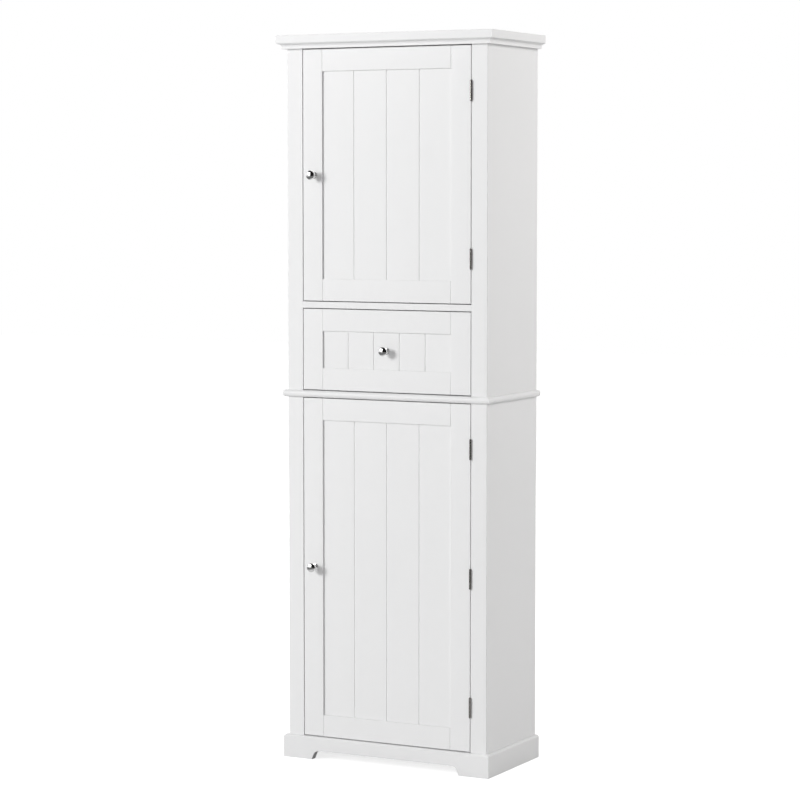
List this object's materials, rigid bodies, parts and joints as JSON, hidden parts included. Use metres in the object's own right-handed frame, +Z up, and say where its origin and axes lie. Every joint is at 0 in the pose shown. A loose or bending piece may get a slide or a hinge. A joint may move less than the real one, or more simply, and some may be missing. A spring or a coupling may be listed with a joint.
{
  "type": "tall bathroom cabinet",
  "caption": "Tall narrow floor cabinet with an upper door, a drawer and a lower door set flush in posts, beaded shaker fronts, a waist board, a coved crown and bracket feet.",
  "frame": {"origin": "on the floor, under the middle of the box that holds the cabinet and its knobs", "axes": "+Z up, the doors face -Y, +X to the viewer's right"},
  "size_m": [0.56, 0.29, 1.7],
  "materials": {
    "painted_white": "satin white paint on fibreboard",
    "white_melamine": "smooth white laminate",
    "back_board": "matt white coated hardboard",
    "polished_chrome": "polished chrome",
    "brushed_nickel": "satin nickel plate",
    "zinc_steel": "bright zinc-plated steel",
    "white_plastic": "matt moulded plastic"
  },
  "bodies": {
    "cabinet": {"base_back": "painted_white", "base_front": "painted_white", "base_left": "painted_white", "base_right": "painted_white", "bottom_panel": "painted_white", "cam_locks": "zinc_steel", "crown_molding_front": "painted_white", "crown_molding_left": "painted_white", "crown_molding_right": "painted_white", "crown_slab": "painted_white", "divider_board": "painted_white", "hinge_frame_leaves": "brushed_nickel", "hinge_pins": "brushed_nickel", "lower_back_panel": "back_board", "lower_post_left": "painted_white", "lower_post_right": "painted_white", "lower_shelves": "painted_white", "lower_side_left": "painted_white", "lower_side_right": "painted_white", "magnetic_catches": "white_plastic", "runner_blocks": "white_melamine", "runner_channels": "zinc_steel", "shelf_pins": "zinc_steel", "top_panel": "painted_white", "upper_back_panel": "back_board", "upper_post_left": "painted_white", "upper_post_right": "painted_white", "upper_shelf": "painted_white", "upper_side_left": "painted_white", "upper_side_right": "painted_white", "waist_board": "painted_white", "wall_bracket": "zinc_steel"},
    "upper_door": {"upper_door_hinge_leaves": "brushed_nickel", "upper_door_hinge_stile": "painted_white", "upper_door_knob": "polished_chrome", "upper_door_knob_screw": "brushed_nickel", "upper_door_knob_stile": "painted_white", "upper_door_panel": "painted_white", "upper_door_rails": "painted_white", "upper_door_strike_plate": "zinc_steel"},
    "lower_door": {"lower_door_hinge_leaves": "brushed_nickel", "lower_door_hinge_stile": "painted_white", "lower_door_knob": "polished_chrome", "lower_door_knob_screw": "brushed_nickel", "lower_door_knob_stile": "painted_white", "lower_door_panel": "painted_white", "lower_door_rails": "painted_white", "lower_door_strike_plate": "zinc_steel"},
    "drawer": {"drawer_back": "white_melamine", "drawer_bottom": "back_board", "drawer_front_panel": "painted_white", "drawer_front_rails": "painted_white", "drawer_front_stiles": "painted_white", "drawer_knob": "polished_chrome", "drawer_knob_screw": "brushed_nickel", "drawer_side_left": "white_melamine", "drawer_side_right": "white_melamine", "runner_rails": "zinc_steel"},
    "runner_cages": {"runner_cages": "white_plastic", "runner_balls": "zinc_steel"}
  },
  "joints": [
    {"name": "upper_door_hinge", "type": "hinge", "parent": "cabinet", "child": "upper_door", "pos_m": [0.219, -0.1226, 1.3755], "axis": [0, 0, 1], "range_deg": [0, 170]},
    {"name": "lower_door_hinge", "type": "hinge", "parent": "cabinet", "child": "lower_door", "pos_m": [0.219, -0.1226, 0.456], "axis": [0, 0, 1], "range_deg": [0, 170]},
    {"name": "drawer_slide", "type": "slide", "parent": "cabinet", "child": "drawer", "axis": [0, -1, 0], "range_m": [0, 0.14]},
    {"name": "cage_slide", "type": "slide", "parent": "cabinet", "child": "runner_cages", "axis": [0, -1, 0], "range_m": [0, 0.07]}
  ],
  "couplings": [
    {"joint": "cage_slide", "follows": "drawer_slide", "ratio": 0.5}
  ]
}
